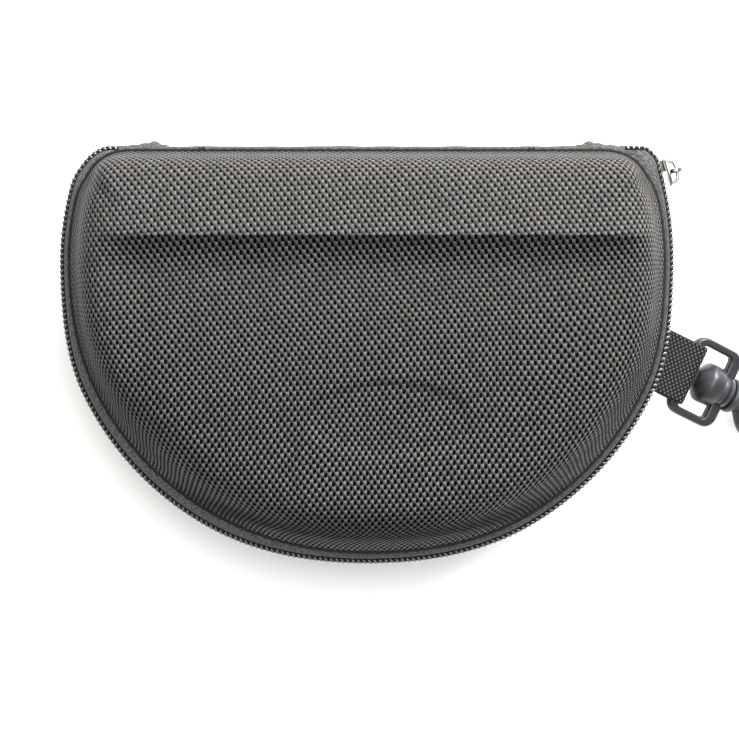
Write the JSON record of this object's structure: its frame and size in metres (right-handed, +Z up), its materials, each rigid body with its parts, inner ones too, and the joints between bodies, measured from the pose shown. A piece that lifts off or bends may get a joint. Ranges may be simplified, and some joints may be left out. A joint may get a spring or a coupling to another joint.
{
  "type": "headphone carrying case",
  "caption": "D-shaped zip-round semi-hard case for headphones, with a cloth hinge along its straight edge, a slider that runs round the rim, and a webbing loop with a swivel snap hook.",
  "frame": {"origin": "centre of the case on the flat of its back shell, which lies on the table", "axes": "+Z up through the lid, +Y to the straight hinge edge, +X to the side that the webbing loop leaves from"},
  "size_m": [0.2275, 0.1236, 0.064],
  "materials": {
    "ballistic_nylon": "basket-woven nylon, faint sheen on the yarns",
    "eva_foam": "closed-cell foam, matt",
    "lining": "short brushed pile",
    "binding": "ribbed tape",
    "zipper_tape": "fine herringbone tape",
    "zipper_coil": "moulded nylon coil, glossy",
    "nickel": "bright nickel plate",
    "webbing": "plain-woven webbing",
    "black_plastic": "moulded acetal, satin",
    "spring_steel": "spring steel"
  },
  "bodies": {
    "base": {"back_shell_fabric": "ballistic_nylon", "back_shell_foam": "eva_foam", "back_lining": "lining", "back_binding_tape": "binding", "back_zipper_tape": "zipper_tape", "back_zipper_coil": "zipper_coil", "hinge_strip_outer": "zipper_tape", "hinge_strip_inner": "binding", "zipper_end_tab_left": "zipper_tape", "zipper_end_tab_right": "zipper_tape", "webbing_root": "webbing"},
    "lid": {"lid_shell_fabric": "ballistic_nylon", "lid_shell_foam": "eva_foam", "lid_lining": "lining", "lid_binding_tape": "binding", "lid_zipper_tape": "zipper_tape", "lid_zipper_coil": "zipper_coil"},
    "slider": {"slider_body": "nickel", "slider_crown": "nickel"},
    "pull": {"pull_tab": "nickel"},
    "strap": {"webbing_loop": "webbing"},
    "swivel_frame": {"hook_frame": "black_plastic"},
    "hook": {"hook_body": "black_plastic", "gate_pin": "spring_steel", "gate_spring": "spring_steel"},
    "gate": {"hook_gate": "black_plastic"}
  },
  "joints": [
    {"name": "lid_hinge", "type": "hinge", "parent": "base", "child": "lid", "pos_m": [0, 0.061, 0.032], "axis": [-1, 0, 0], "range_deg": [0, 175], "deforming": ["hinge_strip_outer", "hinge_strip_inner", "zipper_end_tab_left", "zipper_end_tab_right"]},
    {"name": "slider_travel", "type": "hinge", "parent": "base", "child": "slider", "pos_m": [0, 0.0285, 0.032], "axis": [0, 0, -1], "range_deg": [0, 208]},
    {"name": "pull_lift", "type": "hinge", "parent": "slider", "child": "pull", "pos_m": [0.09077, 0.05367, 0.032], "axis": [0.2672, -0.9636, 0], "range_deg": [0, 100]},
    {"name": "strap_bend", "type": "hinge", "parent": "base", "child": "strap", "pos_m": [0.08666, -0.00136, 0.0228], "axis": [-0.4289, -0.9033, 0], "range_deg": [-30, 75], "stiffness_Nm_per_rad": 0.02},
    {"name": "frame_pivot", "type": "hinge", "parent": "strap", "child": "swivel_frame", "pos_m": [0.09587, -0.00573, 0.01893], "axis": [-0.4289, -0.9033, 0], "range_deg": [-45, 60]},
    {"name": "hook_swivel", "type": "hinge", "parent": "swivel_frame", "child": "hook", "pos_m": [0.10921, -0.01207, 0.01333], "axis": [0.8445, -0.401, -0.3549], "continuous": true},
    {"name": "gate_open", "type": "hinge", "parent": "hook", "child": "gate", "pos_m": [0.11918, -0.00917, 0.01038], "axis": [-0.3206, 0.1522, -0.9349], "range_deg": [0, 25], "stiffness_Nm_per_rad": 0.004, "deforming": ["gate_spring"]}
  ]
}
